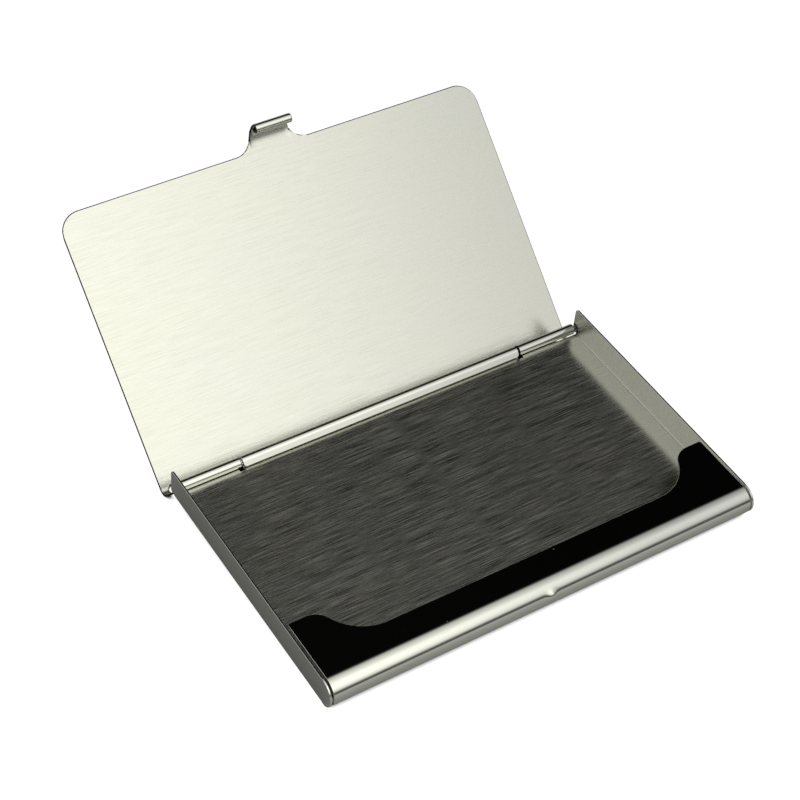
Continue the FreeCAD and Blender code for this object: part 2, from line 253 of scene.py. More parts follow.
# scales: (across the brushing, along it), in cells for each 100 mm
brush = {
    "fine": (800, 14), "fineShare": 0.65, "coarse": (400, 5), "clouds": (7, 4),
    "scratches": (420, 16), "scratchFrom": 0.69, "scratchGain": 14.0,
    "dustCells": 22.0, "dustRadius": 0.028, "dustChance": 0.2,
}


def brushGroup(size):
    # brushing along the hinge: hair lines (streaks), slow cloudy change, sparse short scratches and dust.
    # streaks = 0.5 + contrast * (fine and coarse noise mixed - 0.5)
    group = bpy.data.node_groups.new("brushing", "ShaderNodeTree")
    group.interface.new_socket("Sheet", in_out="INPUT", socket_type="NodeSocketVector")
    contrast = group.interface.new_socket("Contrast", in_out="INPUT", socket_type="NodeSocketFloat")
    contrast.default_value = 1.0
    for name in ("Streaks", "Clouds", "Scratches", "Dust"):
        group.interface.new_socket(name, in_out="OUTPUT", socket_type="NodeSocketFloat")
    start = addNode(group, "NodeGroupInput", (-900, 0))
    end = addNode(group, "NodeGroupOutput", (900, 0))
    sheet = start.outputs["Sheet"]
    fine = stretchedNoise(group, sheet, size["fine"], (-700, 300), 2.0, 0.6)
    coarse = stretchedNoise(group, sheet, size["coarse"], (-700, 0), 2.0, 0.6)
    clouds = stretchedNoise(group, sheet, size["clouds"], (-700, -300), 2.0, 0.5)
    rare = stretchedNoise(group, sheet, size["scratches"], (-700, -600), 1.0, 0.4)
    finePart = mathNode(group, "MULTIPLY", (-350, 300), fine, size["fineShare"])
    coarsePart = mathNode(group, "MULTIPLY", (-350, 100), coarse, 1 - size["fineShare"])
    both = mathNode(group, "ADD", (-200, 200), finePart, coarsePart)
    centred = mathNode(group, "SUBTRACT", (-50, 200), both, 0.5)
    spread = mathNode(group, "MULTIPLY", (100, 200), centred, start.outputs["Contrast"])
    streaks = mathNode(group, "ADD", (250, 200), spread, 0.5, clamp=True)
    above = mathNode(group, "SUBTRACT", (-200, -600), rare, size["scratchFrom"])
    deep = mathNode(group, "MULTIPLY", (-50, -600), above, size["scratchGain"], clamp=True)
    group.links.new(streaks, end.inputs["Streaks"])
    group.links.new(clouds, end.inputs["Clouds"])
    group.links.new(deep, end.inputs["Scratches"])
    # dust: a dot at the middle of few cells
    cells = addNode(group, "ShaderNodeTexVoronoi", (-500, -900))
    cells.inputs["Scale"].default_value = size["dustCells"]
    group.links.new(sheet, cells.inputs["Vector"])
    dot = mathNode(group, "LESS_THAN", (-200, -900), cells.outputs["Distance"], size["dustRadius"])
    chance = addNode(group, "ShaderNodeSeparateColor", (-350, -1100))
    group.links.new(cells.outputs["Color"], chance.inputs[0])
    few = mathNode(group, "GREATER_THAN", (-200, -1100), chance.outputs[0], 1 - size["dustChance"])
    group.links.new(mathNode(group, "MULTIPLY", (0, -950), dot, few), end.inputs["Dust"])
    return group


brushing = brushGroup(brush)


def steel(name, look):
    # stainless steel: base colour and roughness follow the streaks and clouds of the brushing.
    # roughness = look's own + swing * (streaks - 0.5); colour = cool to warm by the clouds, darkened
    # towards the shadow tint where streaks are low and where a scratch lies
    material = bpy.data.materials.new(name)
    material.use_nodes = True
    tree = material.node_tree
    shader = tree.nodes["Principled BSDF"]
    shader.inputs["Anisotropic"].default_value = look["anisotropy"]
    uv = addNode(tree, "ShaderNodeUVMap", (-1200, 0), uv_map="sheet")
    pattern = addNode(tree, "ShaderNodeGroup", (-950, 0), node_tree=brushing)
    pattern.inputs["Contrast"].default_value = look["contrast"]
    tree.links.new(uv.outputs[0], pattern.inputs["Sheet"])

    tint = addNode(tree, "ShaderNodeMix", (-650, 300), data_type="RGBA")
    tint.inputs[6].default_value = (*look["cool"], 1)
    tint.inputs[7].default_value = (*look["warm"], 1)
    tree.links.new(pattern.outputs["Clouds"], tint.inputs[0])
    shade = addNode(tree, "ShaderNodeMix", (-400, 300), data_type="RGBA", blend_type="MULTIPLY")
    low = mathNode(tree, "SUBTRACT", (-800, 100), 1.0, pattern.outputs["Streaks"])
    dark = mathNode(tree, "MULTIPLY", (-650, 100), low, look["streakDark"])
    scratched = mathNode(tree, "MULTIPLY", (-650, -50), pattern.outputs["Scratches"], look["scratchDark"])
    tree.links.new(mathNode(tree, "ADD", (-500, 100), dark, scratched, clamp=True), shade.inputs[0])
    tree.links.new(tint.outputs[2], shade.inputs[6])
    shade.inputs[7].default_value = (*shadowTint, 1)
    tree.links.new(shade.outputs[2], shader.inputs["Base Color"])

    swing = mathNode(tree, "MULTIPLY", (-500, -200), pattern.outputs["Streaks"], look["roughSwing"])
    rough = mathNode(tree, "ADD", (-300, -200), swing, look["roughness"] - look["roughSwing"] / 2)
    tree.links.new(rough, shader.inputs["Roughness"])
    bare = mathNode(tree, "MULTIPLY", (-500, 500), pattern.outputs["Dust"], look["dust"])
    tree.links.new(mathNode(tree, "SUBTRACT", (-300, 500), 1.0, bare), shader.inputs["Metallic"])
    if look["grainHeight"]:
        bump = addNode(tree, "ShaderNodeBump", (-300, -450))
        bump.inputs["Strength"].default_value = 1.0
        bump.inputs["Distance"].default_value = look["grainHeight"] * mm
        tree.links.new(pattern.outputs["Streaks"], bump.inputs["Height"])
        tree.links.new(bump.outputs[0], shader.inputs["Normal"])
    if look["anisotropy"]:
        # the highlight spreads across the brushing, by the sheet map's own directions
        tangent = addNode(tree, "ShaderNodeTangent", (-300, -650), direction_type="UV_MAP")
        tangent.uv_map = "sheet"
        tree.links.new(tangent.outputs[0], shader.inputs["Tangent"])
    return material


shadowTint = (0.2, 0.2, 0.19)
# streakDark and scratchDark: how far the colour goes to the shadow tint. dust: how much of its metal
# look a speck loses. grainHeight in mm
brushedLook = {
    "cool": (0.685, 0.69, 0.64), "warm": (0.695, 0.695, 0.61),
    "roughness": 0.24, "roughSwing": 0.2, "anisotropy": 0.75,
    "contrast": 3.2, "streakDark": 0.12, "scratchDark": 0.06, "grainHeight": 0.003, "dust": 0.0,
}
polishedLook = {
    "cool": (0.7, 0.71, 0.665), "warm": (0.71, 0.715, 0.64),
    "roughness": 0.06, "roughSwing": 0.03, "anisotropy": 0.0,
    "contrast": 1.0, "streakDark": 0.03, "scratchDark": 0.1, "grainHeight": 0.0, "dust": 0.35,
}
# tray's cut edges: base colour lighter than the sheet's, a painted highlight along the rims
trayEdgePaintedHighlightLook = {
    "cool": (0.8, 0.8, 0.76), "warm": (0.84, 0.84, 0.78),
    "roughness": 0.17, "roughSwing": 0.06, "anisotropy": 0.0,
    "contrast": 1.0, "streakDark": 0.15, "scratchDark": 0.1, "grainHeight": 0.0, "dust": 0.0,
}
# lid's cut edges: base colour nearly black, painted shade that draws a dark outline along the lid's edges
lidEdgePaintedShadeLook = {
    "cool": (0.03, 0.03, 0.03), "warm": (0.045, 0.045, 0.04),
    "roughness": 0.22, "roughSwing": 0.1, "anisotropy": 0.0,
    "contrast": 1.0, "streakDark": 0.2, "scratchDark": 0.1, "grainHeight": 0.0, "dust": 0.0,
}
brushedSteel = steel("brushedSteel", brushedLook)
polishedSteel = steel("polishedSteel", polishedLook)
trayEdgePaintedHighlightSteel = steel("trayEdgePaintedHighlightSteel", trayEdgePaintedHighlightLook)
lidEdgePaintedShadeSteel = steel("lidEdgePaintedShadeSteel", lidEdgePaintedShadeLook)
print("finishes: brushed, polished, cut edges of tray and lid")

# tray: floor, roll, flap and middle knuckle along one path, side walls on another. All in mm
tray = {
    "sheet": 0.4, "height": trayHigh[2], "halfWidth": trayHigh[0], "rollCentre": -26.1, "rollHalf": 46.2,
    # beside the middle knuckle the floor ends at floorEnd, and from x = reachInner outwards it goes
    # floorReach further back
    "floorEnd": 27.4, "reachInner": 33.0, "floorReach": 0.6, "bendRadius": 0.45, "bendFade": 2.2,
    "wallEnd": trayHigh[1] - 0.9, "tipRound": 0.8,
    # flap: the ears end at y = earLine and the strip between them at stripLine. The outline's two corners
    # on the way are at x = stripCorner and earCorner
    "earLine": -12.8, "stripLine": -20.75, "earCorner": 40.16, "stripCorner": 36.26, "stripStart": 4.5,
    "earRound": 4.2, "stripRound": 9.6, "earTipRound": 0.5,
    "knuckleHalf": 32.05, "curlDegrees": 233, "lipLength": 1.02, "lipRound": 0.6,
    "nubLift": 0.95, "nubHeight": 0.29, "nubReach": 0.95, "edgeRound": 0.1,
    # grid: columns close together over the nub, and a narrow row on each flat part beside its bend
    "columnGap": 0.13, "nubColumns": ((0.0, 0.14), (2.4, 0.3)), "columnStep": 2.0,
    "bendRow": 0.12, "lipRow": 0.1, "rollRows": 60, "floorRows": 20, "curlRows": 44,
}


def trayStrips(size):
    sheet = size["sheet"]
    rollRadius = (size["height"] - sheet) / 2
    curl = curlRadius - sheet / 2
    flapRun = size["earLine"] - size["rollCentre"]
    floorRun = hinge[1] - size["rollCentre"]
    # middle surface, from the ears' edge: flap, roll, floor, knuckle, lip
    path = makePath((size["earLine"], size["height"] - sheet / 2), 180, [
        (flapRun, 0), (math.pi * rollRadius, 180), (floorRun, 0),
        (math.radians(size["curlDegrees"]) * curl, size["curlDegrees"]), (size["lipLength"], 0)])
    flapEnd, rollEnd, floorEnd, curlEnd, lipEnd = path["marks"][1:]
    edge = roundedLine(
        [(size["stripStart"], size["stripLine"]), (size["stripCorner"], size["stripLine"]),
         (size["earCorner"], size["earLine"]), (size["rollHalf"], size["earLine"]),
         (size["rollHalf"], size["rollCentre"])],
        [size["stripRound"], size["earRound"], size["earTipRound"]])[:-1]
    lipTurn = np.radians(np.linspace(0, 90, 7))
    lipPlaces = size["knuckleHalf"] + size["lipRound"] * (np.sin(lipTurn) - 1)
    places = np.concatenate([
        lines(*size["nubColumns"], size["stripStart"]),
        lines((size["stripStart"], size["columnStep"]), edge[1, 0]), lipPlaces, edge[:, 0]])
    across = thinOut(places, size["columnGap"], [
        0.0, lipPlaces[0], size["knuckleHalf"], size["reachInner"], size["rollHalf"]])
    edgeY = np.interp(across, edge[:, 0], edge[:, 1])
    edgeY[-1] = edge[-1, 1]
    begin = size["earLine"] - edgeY
    bendRow = size["bendRow"]
    strips = [
        strip(path, across, begin, flapEnd - bendRow, 6),
        strip(path, across, flapEnd - bendRow, flapEnd, 1),
        strip(path, across, flapEnd, rollEnd, size["rollRows"]),
    ]

    # latch nub: pressed out round a point a little above the roll's middle. It stands out by
    # nubHeight * exp(-(distance / nubReach) squared)
    roll = strips[-1]["points"]
    centre = np.array([size["rollCentre"], size["height"] / 2])
    out = roll[..., 1:] - centre
    out /= np.linalg.norm(out, axis=-1, keepdims=True)
    outer = size["height"] / 2
    lift = math.asin(size["nubLift"] / outer)
    along = (np.arctan2(out[..., 1], -out[..., 0]) - lift) * outer
    distance = np.hypot(roll[..., 0], along) / size["nubReach"]
    roll[..., 1:] += out * (size["nubHeight"] * np.exp(-distance ** 2))[..., None]

    back = rollEnd + size["floorEnd"] - size["rollCentre"]
    floor = strip(path, across, rollEnd + bendRow, back, size["floorRows"])
    strips.append(strip(path, across, rollEnd, rollEnd + bendRow, 1))
    strips.append(floor)

    # middle knuckle and its lip, whose two corners are rounded
    middle = across[across <= size["knuckleHalf"] + 1e-6]
    lipRow = size["lipRow"]
    inset = np.clip(middle - (size["knuckleHalf"] - size["lipRound"]), 0, None)
    lipStop = lipEnd - size["lipRound"] + np.sqrt(np.clip(size["lipRound"] ** 2 - inset ** 2, 0, None))
    strips += [
        strip(path, middle, back, floorEnd - lipRow, 2),
        strip(path, middle, floorEnd - lipRow, floorEnd, 1),
        strip(path, middle, floorEnd, curlEnd, size["curlRows"]),
        strip(path, middle, curlEnd, curlEnd + lipRow, 1),
        strip(path, middle, curlEnd + lipRow, lipEnd - size["lipRound"], 2),
        strip(path, middle, lipEnd - size["lipRound"], lipStop, 2),
    ]

    # side wall: the bend, then straight up. Columns go up the bend and wall, rows go along the case
    wallX = size["halfWidth"] - sheet / 2
    rise = size["height"] - size["bendRadius"] - sheet / 2
    side = makePath((wallX - size["bendRadius"], sheet / 2), 0, [
        (math.pi / 2 * size["bendRadius"], 90), (rise, 0)])
    bendTop, wallTop = side["marks"][1:]
    bendX = np.array([size["rollHalf"], wallX - size["bendRadius"]])
    strips.append(strip(path, bendX, rollEnd + bendRow, back, size["floorRows"]))
    # at both ends the floor reaches a little further back, to the lid's knuckles
    endX = np.append(across[across >= size["reachInner"] - 1e-6], bendX[1])
    strips.append(strip(path, endX, back, back + size["floorReach"], 1))
    reachY = size["floorEnd"] + size["floorReach"]
    frontY = size["rollCentre"]
    rowsY = np.concatenate([[frontY], floor["points"][0, :, 1]])

    def sidePatch(places, y):
        # places: distance along the side path, one per column; y: rows, one list or one per column
        y = np.broadcast_to(y, (len(places), np.shape(y)[-1]))
        section = side["at"](np.asarray(places))
        x = np.broadcast_to(section[:, :1], y.shape)
        z = np.broadcast_to(section[:, 1:], y.shape)
        spread = wallX - size["bendRadius"] + np.broadcast_to(np.asarray(places)[:, None], y.shape)
        along = rollEnd + y - frontY
        return {"points": np.stack([x, y, z], -1), "flat": np.stack([along, spread], -1)}

    radius = size["height"] / 2
    bendHeight = size["bendRadius"] + sheet / 2
    rises = radius * (1 + np.sin(np.linspace(math.asin(bendHeight / radius - 1), math.pi / 2, 25)))
    # columns of the wall and of its round front end, at heights that suit the round end
    heights = thinOut(rises, size["columnGap"], [bendHeight, size["height"]])
    wallPlaces = bendTop + heights - bendHeight
    wallPlaces[-1] = wallTop
    bendPlaces = np.linspace(0, bendTop, 7)
    bend = sidePatch(bendPlaces, np.append(rowsY, reachY))
    bend["slot"] = 3                     # polished on both sides
    strips.append(bend)
    strips.append(sidePatch(wallPlaces, rowsY))
    # front end: half disc, each column ends where the circle stands at its height
    reach = np.sqrt(np.clip(radius ** 2 - (heights - radius) ** 2, 0, None))
    share = np.linspace(1, 0, 5)
    strips.append(sidePatch(wallPlaces, frontY - reach[:, None] * share[None, :]))
    # under it the bend fades out: from the bend's own points to the disc's over a short way forward
    lowAngles = np.linspace(-math.pi / 2, math.asin(bendHeight / radius - 1), 7)
    low = sidePatch(bendPlaces, frontY - (radius * np.cos(lowAngles))[:, None] * share[None, :])
    ahead = np.clip((frontY - low["points"][..., 1]) / size["bendFade"], 0, 1)
    fade = ahead ** 2 * (3 - 2 * ahead)
    low["points"][..., 0] += (wallX - low["points"][..., 0]) * fade
    low["points"][..., 2] += (radius * (1 + np.sin(lowAngles))[:, None] - low["points"][..., 2]) * fade
    strips.append(low)
    # rear end: past the floor's end, with the tip's corner rounded
    tipY = size["wallEnd"] - size["tipRound"]
    strips.append(sidePatch(wallPlaces, np.array([size["floorEnd"], reachY, tipY])))
    share = np.linspace(0, 1, 6)
    tipTops = wallTop - size["tipRound"] * (1 - np.sqrt(1 - share ** 2))
    rear = sidePatch(wallPlaces, tipY + size["tipRound"] * share)
    climb = (wallPlaces - bendTop)[:, None] * ((tipTops - bendTop) / (wallTop - bendTop))[None, :]
    rear["points"][..., 2] = climb + bendHeight
    rear["flat"][..., 1] = wallX - size["bendRadius"] + bendTop + climb
    strips.append(rear)
    return strips


trayPiece = sheetPiece("traySheet", trayStrips(tray), False, tray["sheet"], tray["edgeRound"],
                       [polishedSteel, brushedSteel, trayEdgePaintedHighlightSteel, polishedSteel, polishedSteel])
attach(trayPiece, "tray")
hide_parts("tray")
print("tray:", len(trayPiece.data.polygons), "faces before thickness")

# lid, worked out closed and then swung open about the hinge. All in mm
lid = {
    "sheet": 0.4, "halfWidth": lidHigh[0], "top": 6.88, "front": -26.9, "corner": 4.5, "bend": 1.6,
    "rear": hinge[1] + curlRadius, "tabHalf": 4.12, "tabFillet": 4.1, "tabFace": -31.7, "tabBend": 3.9,
    "hookHeight": 2.8, "hookRadius": 0.95, "curlDegrees": 300,
    "cutawayHalf": 32.35, "cutawayTop": 2.9, "cutawayRound": 0.8,
    "slotStart": 28.55, "slotInner": 44.6, "slotOuter": 45.75, "flangeEnd": 3.7, "knuckleEnd": 46.3,
    "edgeRound": 0.19,
    # grid: the rows of the rear bend start rearRow before it
    "columnGap": 0.22, "tabColumns": 0.8, "columnStep": 3.0, "rearRow": 1.0,
    "hookRows": 40, "curlRows": 50,
}


def lidStrips(size):
    half = size["sheet"] / 2
    hook = size["hookRadius"] - half
    tabBend = size["tabBend"] - half
    rearBend = size["bend"] - half
    curl = curlRadius - half
    sweep = size["curlDegrees"]
    tabRise = size["top"] - size["tabBend"] - size["hookHeight"]
    plateRun = size["rear"] - size["bend"] - size["tabFace"] - size["tabBend"]
    wallRun = size["top"] - size["bend"] - curlRadius
    hookY = size["tabFace"] + size["hookRadius"]
    freeEnd = math.radians(180 + sweep)
    # middle surface, from the hook's free end: hook, tab, bend, plate, rear bend, rear wall, knuckle
    path = makePath((hookY + hook * math.cos(freeEnd), size["hookHeight"] + hook * math.sin(freeEnd)),
                    90 + sweep, [
        (math.radians(sweep) * hook, -sweep), (tabRise, 0), (math.pi / 2 * tabBend, -90), (plateRun, 0),
        (math.pi / 2 * rearBend, -90), (wallRun, 0), (math.radians(sweep) * curl, -sweep)])
    hookEnd, tabTop, bendEnd, plateEnd, rearEnd, wallEnd, curlEnd = path["marks"][1:]

    def atY(y):
        # distance along the path where the sheet stands at y: on the tab's bend, plate or rear bend
        bendY = size["tabFace"] + size["tabBend"]
        rearY = size["rear"] - size["bend"]
        onTab = tabTop + tabBend * np.arccos(np.clip((bendY - y) / tabBend, -1, 1))
        onRear = plateEnd + rearBend * np.arcsin(np.clip((y - rearY) / rearBend, -1, 1))
        return np.where(y < bendY, onTab, np.where(y > rearY, onRear, bendEnd + y - bendY))

    def atZ(z):
        # distance along the path where the rear wall stands at height z
        return wallEnd - (z - curlRadius)

    quarter = np.radians(np.linspace(0, 90, 13))
    filletX = size["tabHalf"] + size["tabFillet"] * (1 - np.cos(quarter))
    cornerX = size["halfWidth"] - size["corner"] * (1 - np.sin(quarter))
    slotHalf = (size["slotOuter"] - size["slotInner"]) / 2
    slotMiddle = size["slotInner"] + slotHalf
    slotX = slotMiddle - slotHalf * np.cos(np.radians(np.linspace(0, 180, 9)))
    cutX = size["cutawayHalf"] - size["cutawayRound"] * (1 - np.sin(np.radians(np.linspace(0, 90, 7))))
    step = size["columnStep"]
    places = np.concatenate([
        lines((0.0, size["tabColumns"]), size["tabHalf"]), filletX,
        lines((filletX[-1], step), cutX[0]), cutX, lines((cutX[-1], step), cornerX[0]), cornerX, slotX])
    across = thinOut(places, size["columnGap"], [
        0.0, size["tabHalf"], filletX[-1], cutX[0], size["cutawayHalf"], size["slotInner"], slotMiddle,
        size["slotOuter"], size["knuckleEnd"], size["halfWidth"]])

    def between(low, high):
        return across[(across >= low - 1e-4) & (across <= high + 1e-4)]

    # hook, tab and the round fillets beside it
    tab = between(0, size["tabHalf"])
    fillet = between(size["tabHalf"], filletX[-1])
    tabSide = size["front"] - size["tabFillet"]
    gap = np.clip(filletX[-1] - fillet, 0, size["tabFillet"])
    filletEdge = tabSide + np.sqrt(size["tabFillet"] ** 2 - gap ** 2)
    strips = [
        strip(path, tab, 0.0, hookEnd, size["hookRows"]),
        strip(path, tab, hookEnd, tabTop, 3),
        strip(path, tab, tabTop, atY(tabSide), 6),
        strip(path, tab, atY(tabSide), atY(size["front"]), 20),
        strip(path, fillet, atY(filletEdge), atY(size["front"]), 20),
    ]
    # plate, with round front corners
    cornerLine = size["front"] + size["corner"]
    past = np.clip(across - (size["halfWidth"] - size["corner"]), 0, size["corner"])
    frontEdge = cornerLine - np.sqrt(size["corner"] ** 2 - past ** 2)
    rearStart = plateEnd - size["rearRow"]
    strips.append(strip(path, across, atY(frontEdge), atY(cornerLine), 4))
    strips.append(strip(path, across, atY(cornerLine), rearStart, 14))
    # round end of the relief slot, on the rear bend
    slotCentre = size["slotStart"] + slotHalf
    inner = between(0, size["slotInner"])
    slot = between(size["slotInner"], size["slotOuter"])
    outer = between(size["slotOuter"], size["halfWidth"])
    slotEdge = slotCentre - np.sqrt(np.clip(slotHalf ** 2 - (slot - slotMiddle) ** 2, 0, None))
    for columns, end in ((inner, slotCentre), (slot, slotEdge), (outer, slotCentre)):
        strips.append(strip(path, columns, rearStart, atY(end), 5))
    for columns in (inner, outer):
        strips.append(strip(path, columns, atY(slotCentre), rearEnd, 12))
        strips.append(strip(path, columns, rearEnd, atZ(size["flangeEnd"]), 3))
    strips.append(strip(path, inner, atZ(size["flangeEnd"]), atZ(size["cutawayTop"]), 1))
    # past the cut-away: its rounded corner, then the knuckle's neck and curl
    cutEnd = size["cutawayTop"] - size["cutawayRound"]
    cut = between(cutX[0], size["cutawayHalf"])
    drop = np.sqrt(np.clip(size["cutawayRound"] ** 2 - (cut - cutX[0]) ** 2, 0, None))
    strips.append(strip(path, cut, atZ(size["cutawayTop"]), atZ(cutEnd + drop), 4))
    neck = between(size["cutawayHalf"], size["slotInner"])
    strips.append(strip(path, neck, atZ(size["cutawayTop"]), atZ(cutEnd), 4))
    knuckle = between(size["cutawayHalf"], size["knuckleEnd"])
    strips.append(strip(path, knuckle, atZ(cutEnd), wallEnd, 2))
    strips.append(strip(path, knuckle, wallEnd, curlEnd, size["curlRows"]))
    return strips


def swingOpen(points):
    # turn about the hinge line by the open angle
    turn = np.array(Matrix.Rotation(-openAngle, 3, "X"))
    return (points - hinge) @ turn.T + hinge


lidPiece = sheetPiece("lidSheet", lidStrips(lid), True, lid["sheet"], lid["edgeRound"],
                      [polishedSteel, brushedSteel, lidEdgePaintedShadeSteel], swingOpen)
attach(lidPiece, "lid")
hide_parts("lid")
print("lid:", len(lidPiece.data.polygons), "faces before thickness")

# hinge pin: straight wire with rounded ends, a profile turned about the hinge line
pin = {
    "radius": (pinHigh[1] - pinLow[1]) / 2, "half": pinHigh[0], "endRound": 0.3, "around": 48, "along": 24,
}


def pinSurface(size):
    # point at station x and angle a: (x, hinge y + radius(x) cos a, hinge z + radius(x) sin a). The radius
    # falls along a quarter circle at each end
    turn = np.radians(np.linspace(0, 90, 7))
    endX = size["half"] - size["endRound"] * (1 - np.sin(turn))
    endR = size["radius"] - size["endRound"] * (1 - np.cos(turn))
    straight = np.linspace(-endX[0], endX[0], size["along"])[1:-1]
    stations = np.concatenate([-endX[::-1], straight, endX])
    radii = np.concatenate([endR[::-1], np.full(len(straight), size["radius"]), endR])
    angle = np.linspace(0, 2 * math.pi, size["around"], endpoint=False)
    x = np.broadcast_to(stations[:, None], (len(stations), len(angle)))
    y = hinge[1] + radii[:, None] * np.cos(angle)[None, :]
    z = hinge[2] + radii[:, None] * np.sin(angle)[None, :]
    points = np.stack([x, y, z], -1).reshape(-1, 3)
    index = np.arange(len(points)).reshape(len(stations), len(angle))
    following = np.roll(index, -1, axis=1)
    faces = np.stack([index[:-1], index[1:], following[1:], following[:-1]], -1).reshape(-1, 4).tolist()
    faces.append(index[0].tolist())
    faces.append(index[-1][::-1].tolist())
    around = angle[None, :] * radii[:, None]
    return points, faces, np.stack([around, x], -1).reshape(-1, 2)


pinPoints, pinFaces, pinFlats = pinSurface(pin)
pinMesh = bpy.data.meshes.new("hingeWire")
pinMesh.from_pydata(pinPoints * mm, [], pinFaces)
pinLayer = pinMesh.uv_layers.new(name="sheet")
pinCorners = np.zeros(len(pinMesh.loops), int)
pinMesh.loops.foreach_get("vertex_index", pinCorners)
pinLayer.data.foreach_set("uv", pinFlats[pinCorners].ravel() * mapScale)
pinMesh.shade_smooth()
pinMesh.materials.append(polishedSteel)
pinPiece = bpy.data.objects.new("hingeWire", pinMesh)
bpy.context.scene.collection.objects.link(pinPiece)
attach(pinPiece, "tray")
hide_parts("hinge_pin")
print("hinge pin: wire", round(2 * pin["radius"], 2), "by", round(2 * pin["half"], 1))

# floor: a plane touching the roll and the open lid's rear bend, which the case stands on. It slopes by
# the angle of the line through their centres, and asin(difference of their radii / distance) more
rollCentre = np.array([tray["rollCentre"], tray["height"] / 2])
bendCentre = swingOpen(np.array([[0, lid["rear"] - lid["bend"], lid["top"] - lid["bend"]]]))[0, 1:]
span = bendCentre - rollCentre
rollOuter = tray["height"] / 2
slope = math.atan2(span[1], span[0]) + math.asin((rollOuter - lid["bend"]) / np.linalg.norm(span))
stand = rollCentre - rollOuter * np.array([-math.sin(slope), math.cos(slope)])
paperLook = {
    # half the paper's side and the reach of the shade in metres. Shade is full where less than shadeFull
    # of the sky is open, and gone above shadeNone
    "half": 1.2, "shadeReach": 0.02, "shadeFull": 0.16, "shadeNone": 0.34, "glow": 1.05,
    # (y in mm, grey): bright just in front of the case, a dark band further off, bright again far away.
    # Right at the case and under it the grey is darker, painted shade; behind the lid it is bright again,
    # painted light where the lid's shadow falls
    "greysWithPaintedShadeAndLight": [
        (-400, 0.85), (-240, 0.85), (-180, 0.1), (-68, 0.1), (-56, 0.6), (-48, 0.9), (-38, 0.85),
        (-31, 0.6), (-26, 0.38), (50, 0.36), (75, 0.9), (90, 0.9)],
}


def onFloor(name, corners, material):
    # flat polygon on the floor plane, corners as (x, y) in mm
    points = np.array([(x, y - stand[0], 0.0) for x, y in corners])
    turn = np.array(Matrix.Rotation(slope, 3, "X"))
    mesh = bpy.data.meshes.new(name)
    mesh.from_pydata((points @ turn.T + (0, stand[0], stand[1])) * mm, [], [list(range(len(corners)))])
    mesh.materials.append(material)
    piece = bpy.data.objects.new(name, mesh)
    bpy.context.scene.collection.objects.link(piece)


def paperMaterial(look):
    # plain white to the eye, with painted shade only where the case all but covers it, and to the steel a
    # matte grey that changes with y, with painted shade at and under the case and painted light behind the
    # lid
    material = bpy.data.materials.new("paper")
    material.use_nodes = True
    tree = material.node_tree
    tree.nodes.clear()
    place = addNode(tree, "ShaderNodeTexCoord", (-900, 0))
    parts = addNode(tree, "ShaderNodeSeparateXYZ", (-700, 0))
    tree.links.new(place.outputs["Object"], parts.inputs[0])
    first = look["greysWithPaintedShadeAndLight"][0][0] * mm
    reach = look["greysWithPaintedShadeAndLight"][-1][0] * mm - first
    shifted = mathNode(tree, "SUBTRACT", (-550, 0), parts.outputs[1], first)
    ramp = addNode(tree, "ShaderNodeValToRGB", (-300, 0))
    # the grey ramp holds painted shade at and under the case and painted light behind the lid
    fillRamp(ramp.color_ramp, [((y * mm - first) / reach, grey) for y, grey in look["greysWithPaintedShadeAndLight"]])
    tree.links.new(mathNode(tree, "DIVIDE", (-420, 0), shifted, reach, True), ramp.inputs[0])
    matte = addNode(tree, "ShaderNodeBsdfDiffuse", (0, 0))
    tree.links.new(ramp.outputs[0], matte.inputs["Color"])
    glow = addNode(tree, "ShaderNodeEmission", (0, 200))
    covered = addNode(tree, "ShaderNodeAmbientOcclusion", (-700, 300), samples=16)
    covered.inputs["Distance"].default_value = look["shadeReach"]
    openness = mathNode(tree, "SUBTRACT", (-500, 300), covered.outputs["AO"], look["shadeFull"])
    lit = mathNode(tree, "DIVIDE", (-350, 300), openness, look["shadeNone"] - look["shadeFull"], True)
    tree.links.new(mathNode(tree, "MULTIPLY", (-200, 300), lit, look["glow"]), glow.inputs["Strength"])
    seen = addNode(tree, "ShaderNodeLightPath", (0, 500))
    pick = addNode(tree, "ShaderNodeMixShader", (250, 100))
    result = addNode(tree, "ShaderNodeOutputMaterial", (450, 100))
    tree.links.new(seen.outputs["Is Camera Ray"], pick.inputs[0])
    tree.links.new(matte.outputs[0], pick.inputs[1])
    tree.links.new(glow.outputs[0], pick.inputs[2])
    tree.links.new(pick.outputs[0], result.inputs[0])
    return material


half = paperLook["half"] / mm
onFloor("floor", [(-half, -half), (half, -half), (half, half), (-half, half)], paperMaterial(paperLook))
print("floor: slope", round(math.degrees(slope), 2))

# studio light, painted on the surroundings: one wide soft light from the front over the top, dark behind
studio = {
    "key": 1.64, "backLeft": 0.95, "backLeftFrom": (-0.6, 0.55, 0.55), "glow": 1.05,
    # closeness to the back left light's direction, and how much of it shows there
    "backLeftSpread": [(0.0, 0.0), (0.86, 0.0), (0.95, 1.0), (1.0, 1.0)],
    # height round the hinge direction: 0 at the front horizon, 0.5 overhead, 1 at the back horizon
    "heights": [
        (0.0, 0.05), (0.028, 0.06), (0.055, 0.25), (0.08, 0.48), (0.1, 0.64), (0.15, 0.82), (0.2, 0.94),
        (0.27, 1.0), (0.32, 1.0), (0.37, 0.92), (0.41, 0.79), (0.46, 0.66), (0.51, 0.56), (0.564, 0.4),
        (0.617, 0.09), (0.64, 0.02), (0.67, 0.0015), (0.84, 0.0015), (0.9, 0.3), (1.0, 0.5)],
    # sideways: 0 far left, 1 far right; warm on the left, cool on the right
    "sides": [
        (0.0, 0.1), (0.35, (0.4, 0.4, 0.39)), (0.55, (0.95, 0.95, 0.89)), (0.65, (1, 1, 0.94)),
        (0.7, (0.83, 0.83, 0.8)), (0.745, (0.565, 0.565, 0.56)), (0.8, 0.46), (1.0, 0.2)],
}


